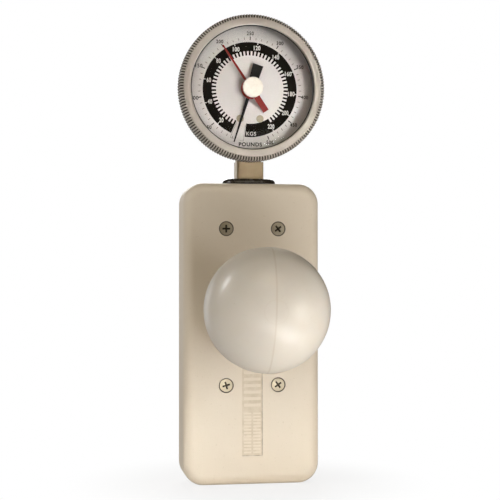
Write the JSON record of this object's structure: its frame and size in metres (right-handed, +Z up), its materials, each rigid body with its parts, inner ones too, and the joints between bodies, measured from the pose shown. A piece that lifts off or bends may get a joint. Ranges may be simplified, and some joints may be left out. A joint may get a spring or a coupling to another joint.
{
  "type": "hand dynamometer",
  "caption": "Hydraulic push-type hand dynamometer: box housing with a large domed push pad, and a dial gauge with a maximum hand on a short neck at the top.",
  "frame": {"origin": "centre of the housing's flat base face, at mid depth of the housing", "axes": "+Z up along the housing to the gauge, +X to the right seen from the front, -Y out of the front, where the pad and the dial face"},
  "size_m": [0.091, 0.1114, 0.2911],
  "materials": {
    "housing_cream": "fine matt texture",
    "screw_steel": "satin",
    "grommet_rubber": "gloss",
    "cell_aluminium": "milled",
    "machined_steel": "turned",
    "bushing_plastic": "satin",
    "copper_seal": "satin",
    "seal_rubber": "matt",
    "hub_aluminium": "turned",
    "pad_vinyl": "soft satin",
    "socket_brass": "dull nickel tint",
    "case_steel": "satin",
    "bezel_steel": "satin",
    "lens_clear": "clear",
    "movement_brass": "satin",
    "tube_bronze": "drawn",
    "arbor_steel": "polished",
    "hairspring_bronze": "satin",
    "dial_white": "satin print",
    "pointer_black": "satin",
    "hand_red": "satin",
    "knob_ivory": "gloss"
  },
  "bodies": {
    "housing": {"front_shell": "housing_cream", "rear_cover": "housing_cream", "cover_screws": "screw_steel", "cell_screws": "screw_steel", "case_screws": "screw_steel", "movement_screws": "screw_steel", "dial_screws": "screw_steel", "stem_grommet": "grommet_rubber", "cell_body": "cell_aluminium", "gland_ring": "machined_steel", "filler_plug": "machined_steel", "rod_bushing": "bushing_plastic", "plug_seal": "copper_seal", "lens_gasket": "seal_rubber", "vent_plug": "seal_rubber", "gauge_socket": "socket_brass", "gauge_case": "case_steel", "bezel": "bezel_steel", "lens": "lens_clear", "reset_bush": "movement_brass", "movement_back_plate": "movement_brass", "movement_front_plate": "movement_brass", "plate_pillars": "movement_brass", "bourdon_tube": "tube_bronze", "tube_tip": "tube_bronze", "tip_pin": "arbor_steel", "hairspring": "hairspring_bronze", "dial": "dial_white"},
    "plunger": {"push_pad": "pad_vinyl", "pad_hub": "hub_aluminium", "lock_nut": "machined_steel", "push_rod": "machined_steel", "piston": "machined_steel", "piston_seal": "seal_rubber"},
    "pinion": {"pinion_shaft": "arbor_steel", "pointer": "pointer_black"},
    "sector": {"sector_gear": "movement_brass", "sector_arbor": "arbor_steel", "tail_pin": "arbor_steel"},
    "link": {"tip_link": "movement_brass"},
    "reset": {"max_hand": "hand_red", "reset_spindle": "arbor_steel", "reset_knob": "knob_ivory", "friction_washer": "arbor_steel"}
  },
  "joints": [
    {"name": "push_slide", "type": "slide", "parent": "housing", "child": "plunger", "axis": [0, 1, 0], "range_m": [0, 0.002], "stiffness_N_per_m": 1100000},
    {"name": "pointer_turn", "type": "hinge", "parent": "housing", "child": "pinion", "pos_m": [0, -0.001, 0.2456], "axis": [0, 1, 0], "range_deg": [0, 322.5]},
    {"name": "sector_swing", "type": "hinge", "parent": "housing", "child": "sector", "pos_m": [-0.00799, -0.001, 0.2251], "axis": [0, -1, 0], "range_deg": [0, 32.25]},
    {"name": "link_swing", "type": "hinge", "parent": "sector", "child": "link", "pos_m": [-0.00603, -0.001, 0.21632], "axis": [0, 1, 0], "range_deg": [0, 32.24]},
    {"name": "max_hand_turn", "type": "hinge", "parent": "housing", "child": "reset", "pos_m": [0, -0.001, 0.2456], "axis": [0, 1, 0], "range_deg": [-126.8, 229.2]}
  ],
  "couplings": [
    {"joint": "pointer_turn", "follows": "push_slide", "rad_per_m": 2814.3},
    {"joint": "sector_swing", "follows": "push_slide", "rad_per_m": 281.43},
    {"joint": "link_swing", "follows": "push_slide", "rad_per_m": 281.37}
  ]
}
